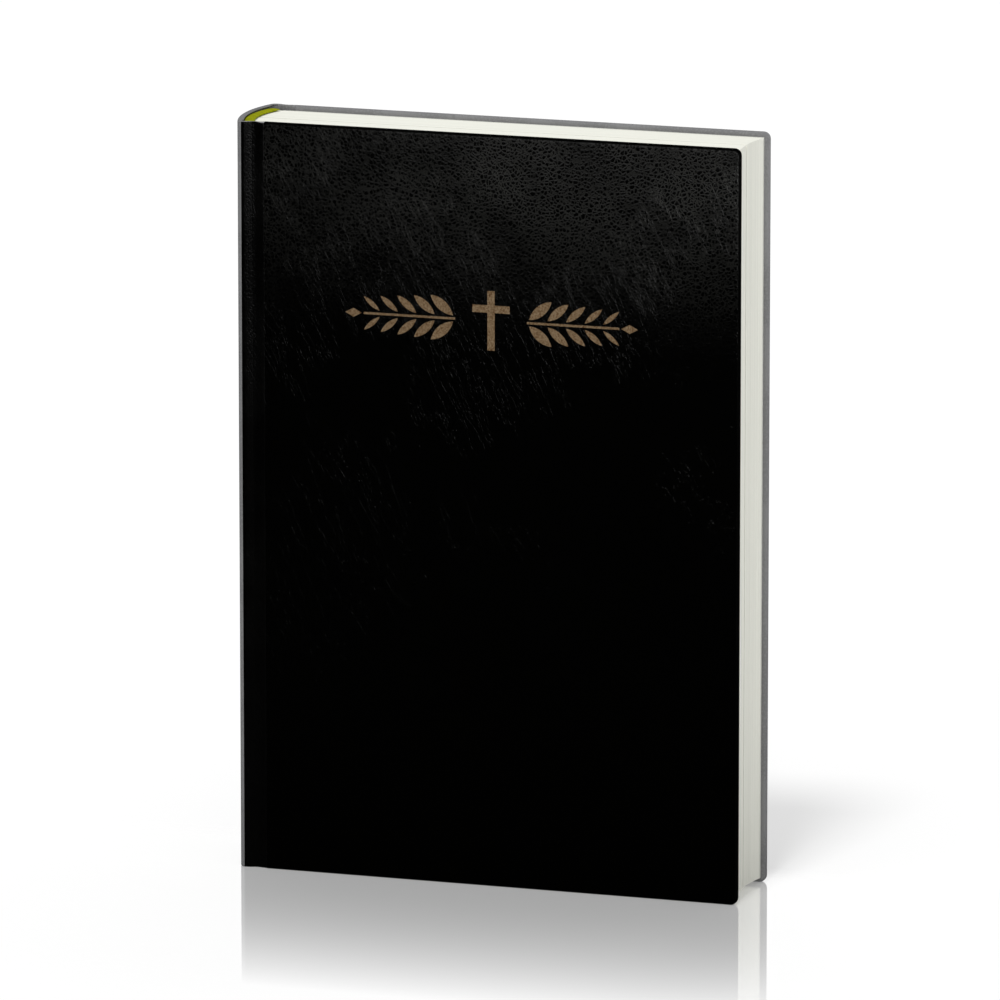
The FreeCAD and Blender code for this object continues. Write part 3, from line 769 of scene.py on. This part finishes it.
def bead(outer, reach, edge, flip):
    """The points and faces of a band's bead, wound with thread, along the pages' edge."""
    crest = outer - BEAD_SETBACK
    count = WRAPS * STEPS_PER_WRAP
    points, faces = [], []
    for i in range(count + 1):
        a = reach * (2 * i / count - 1)
        ridge = 1 + WRAP_DEPTH * (abs(math.sin(math.pi * i / STEPS_PER_WRAP)) - 1)
        ending = min(1, BEAD_END + BEAD_RISE * min(i, count - i) / count)
        for k in range(BEAD_SIDES):
            turn = 2 * math.pi * k / BEAD_SIDES
            radial = crest - BEAD_WIDTH / 2 + BEAD_WIDTH / 2 * math.cos(turn) * ridge
            rise = flip * BEAD_HEIGHT / 2 * math.sin(turn) * ridge * ending
            points.append(on_back(radial, a, edge - flip * BEAD_HEIGHT / 2 + rise))
    for i in range(count):
        for k in range(BEAD_SIDES):
            a, b = i * BEAD_SIDES + k, i * BEAD_SIDES + (k + 1) % BEAD_SIDES
            faces.append((a, b, b + BEAD_SIDES, a + BEAD_SIDES))
    ends = [tuple(range(BEAD_SIDES)), tuple(range(count * BEAD_SIDES, (count + 1) * BEAD_SIDES))]
    return points, faces + ends


def skirt(outer, reach, foot, top, first):
    """The points and faces of a band's skirt, down the back. The first point is number first."""
    points, faces = [], []
    inner = outer - SKIRT
    for i in range(SKIRT_STEPS + 1):
        a = reach * (2 * i / SKIRT_STEPS - 1)
        for radial, z in ((outer, foot), (outer, top), (inner, top), (inner, foot)):
            points.append(on_back(radial, a, z))
    for i in range(SKIRT_STEPS):
        for k in range(4):
            a, b = first + i * 4 + k, first + i * 4 + (k + 1) % 4
            faces.append((a, b, b + 4, a + 4))
    last = first + 4 * SKIRT_STEPS
    return points, faces + [tuple(range(first, first + 4)), tuple(range(last, last + 4))]


def band(name, top):
    """A head or tail band: a bead over the pages' edge, and its skirt down the back."""
    low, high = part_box(name)
    edge, flip = (high.z, 1) if top else (low.z, -1)
    foot = low.z if top else high.z
    outer = BACK_CENTRE - low.x
    reach = math.asin((high.y - BAND_MARGIN) / outer)
    points, faces = bead(outer, reach, edge, flip)
    more_points, more_faces = skirt(outer, reach, foot, edge - flip * BEAD_HEIGHT / 2, len(points))
    made = piece(name + "_bead", points + more_points, faces + more_faces, [band_thread], 60)
    finish_piece(made, [name], body="spine")


def make_block():
    chance = random.Random(SEED)
    for number in range(1, SIGNATURES + 1):
        signature(number, chance)
    for side_name, side in SIDES.items():
        flyleaf(side_name)
        endpaper_fold(side_name, side)
    band("headband", True)
    band("tailband", False)


def dress_cad_nodes():
    """Gives each CAD node that stays in view its material, and the foil soft edges."""
    looks = {
        "front_board": grey_board, "back_board": grey_board,
        "front_pastedown": paste_paper, "back_pastedown": paste_paper,
        "front_mull_flap": mull_cloth, "back_mull_flap": mull_cloth, "spine_mull": mull_cloth,
        "spine_stiffener": manila_card, "spine_lining": kraft_paper, "spine_glue": dried_glue,
        "sewing_thread": sewing_thread, "cover_ornament": foil,
    }
    for name, material in looks.items():
        for place in frame["nodes"][name].material_slots:
            place.material = material
    soft = frame["nodes"]["cover_ornament"].modifiers.new("soft_edges", "BEVEL")
    soft.width, soft.segments, soft.limit_method = FOIL_EDGE, 2, "ANGLE"


# ---------------------------------------------------------------------- the stage

def mirror_share(look):
    """How much of the floor is a mirror: most at the book's foot, fading out round it and behind it."""
    at = look.node("NewGeometry", out="Position")
    near = look.vector_math("ABSOLUTE", at)
    foot = Vector((FORE_EDGE - spine_low.x, 2 * HALF, 0)) / 2
    beyond = look.vector_math("MAXIMUM", look.vector_math("SUBTRACT", near, foot), (0, 0, 0))
    distance = look.node("VectorMath", {"operation": "LENGTH"}, out="Value", Vector=beyond)
    share = look.math("DIVIDE", distance, MIRROR_REACH, clamp=True)
    fade = look.math("SUBTRACT", 1.0, look.math("POWER", share, MIRROR_FADE), clamp=True)
    behind = look.range(look.part(at, "Y"), HALF, 2 * HALF, 1.0, 0.0)
    return look.math("MULTIPLY", look.math("MULTIPLY", fade, MIRROR_STRENGTH), behind)


def make_floor():
    """A pale glossy floor that mirrors the foot of the book and fades to plain white."""
    bpy.ops.mesh.primitive_plane_add(size=FLOOR_SIZE)
    floor = bpy.context.object
    floor.name = "floor"
    look = Look("floor_look")
    matt = look.node("BsdfDiffuse", Color=(FLOOR_PAINT, FLOOR_PAINT, FLOOR_PAINT, 1))
    glow = look.node("Emission", Color=(1, 1, 1, 1), Strength=FLOOR_GLOW)
    gloss = look.node("BsdfAnisotropic", Color=(1, 1, 1, 1), Roughness=0.0)
    pale = look.node("AddShader")
    for socket, given in zip(pale.node.inputs, (matt, glow)):
        look.give(socket, given)
    mixed = look.node("MixShader")
    for socket, given in zip(mixed.node.inputs, (mirror_share(look), pale, gloss)):
        look.give(socket, given)
    look.give(look.tree.nodes["Material Output"].inputs["Surface"], mixed)
    look.tree.nodes.remove(look.shader)
    floor.data.materials.append(look.material)
    floor.visible_glossy = False


def make_world():
    """White surroundings that light the book softly from all round. Only the floor mirrors them."""
    world = bpy.data.worlds.new("studio")
    world.use_nodes = True
    scene.world = world
    tree = world.node_tree
    background = tree.nodes["Background"]
    kind = tree.nodes.new("ShaderNodeLightPath")

    def choose(test, yes, no):
        """One strength where the test holds and another where it doesn't."""
        made = tree.nodes.new("ShaderNodeMix")
        tree.links.new(test, made.inputs[0])
        for socket, given in ((made.inputs[3], yes), (made.inputs[2], no)):
            if isinstance(given, bpy.types.NodeSocket):
                tree.links.new(given, socket)
            else:
                socket.default_value = given
        return made.outputs[0]

    strength = choose(kind.outputs["Is Glossy Ray"], GLOSS_LIGHT, SKY_LIGHT)
    strength = choose(kind.outputs["Is Singular Ray"], 1.0, strength)
    strength = choose(kind.outputs["Is Camera Ray"], 1.0, strength)
    tree.links.new(strength, background.inputs["Strength"])
    background.inputs["Color"].default_value = (1, 1, 1, 1)


def aim(made, target):
    made.rotation_mode = "QUATERNION"
    made.rotation_quaternion = (Vector(target) - made.location).to_track_quat("-Z", "Y")


def lamp(name, kind, place, target, energy):
    """A new lamp that the camera doesn't see."""
    made = bpy.data.objects.new(name, bpy.data.lights.new(name, kind))
    made.data.energy = energy
    made.location = place
    aim(made, target)
    made.visible_camera = False
    scene.collection.objects.link(made)
    return made


def make_lights():
    """A soft key from above the front, and lamps that only the leather and the foil of a cover catch."""
    for side_name, side in SIDES.items():
        lit = bpy.data.collections.new(side_name + "_sheen_on_leather")
        for made in list(scene.objects):
            if made.type == "MESH" and made.name.startswith(side_name) and "leather" in made.name:
                lit.objects.link(made)
        if side < 0:
            lit.objects.link(frame["nodes"]["cover_ornament"])
        for name, (x, above, width, energy) in SHEEN_LAMPS.items():
            place = (x, side * (HALF + SHEEN_STANDOFF), HEAD + above)
            box = lamp(f"{side_name}_sheen_{name}", "AREA", place, SHEEN_TARGET, energy)
            box.data.shape, box.data.size, box.data.size_y = "RECTANGLE", width, SHEEN_HEIGHT
            box.light_linking.receiver_collection = lit
    sun = lamp("key", "SUN", KEY_DIRECTION, (0, 0, 0), KEY_LIGHT)
    sun.data.angle = math.radians(KEY_SPREAD)
    sun.visible_glossy = False


def make_camera():
    camera = bpy.data.objects.new("camera", bpy.data.cameras.new("camera"))
    scene.collection.objects.link(camera)
    azimuth, elevation = (math.radians(a) for a in CAMERA_ANGLES)
    back = Vector((math.sin(azimuth) * math.cos(elevation),
                   -math.cos(azimuth) * math.cos(elevation), math.sin(elevation)))
    target = (cad_low + cad_high) / 2 + Vector(CAMERA_AIM)
    camera.location = target + back * CAMERA_DISTANCE
    aim(camera, target)
    camera.data.lens = SENSOR_WIDTH / (2 * math.tan(math.radians(CAMERA_FIELD) / 2))
    camera.data.clip_end = 100
    scene.camera = camera


make_case()
make_block()
dress_cad_nodes()
make_floor()
make_world()
make_lights()
make_camera()
scene.view_settings.view_transform = "Standard"
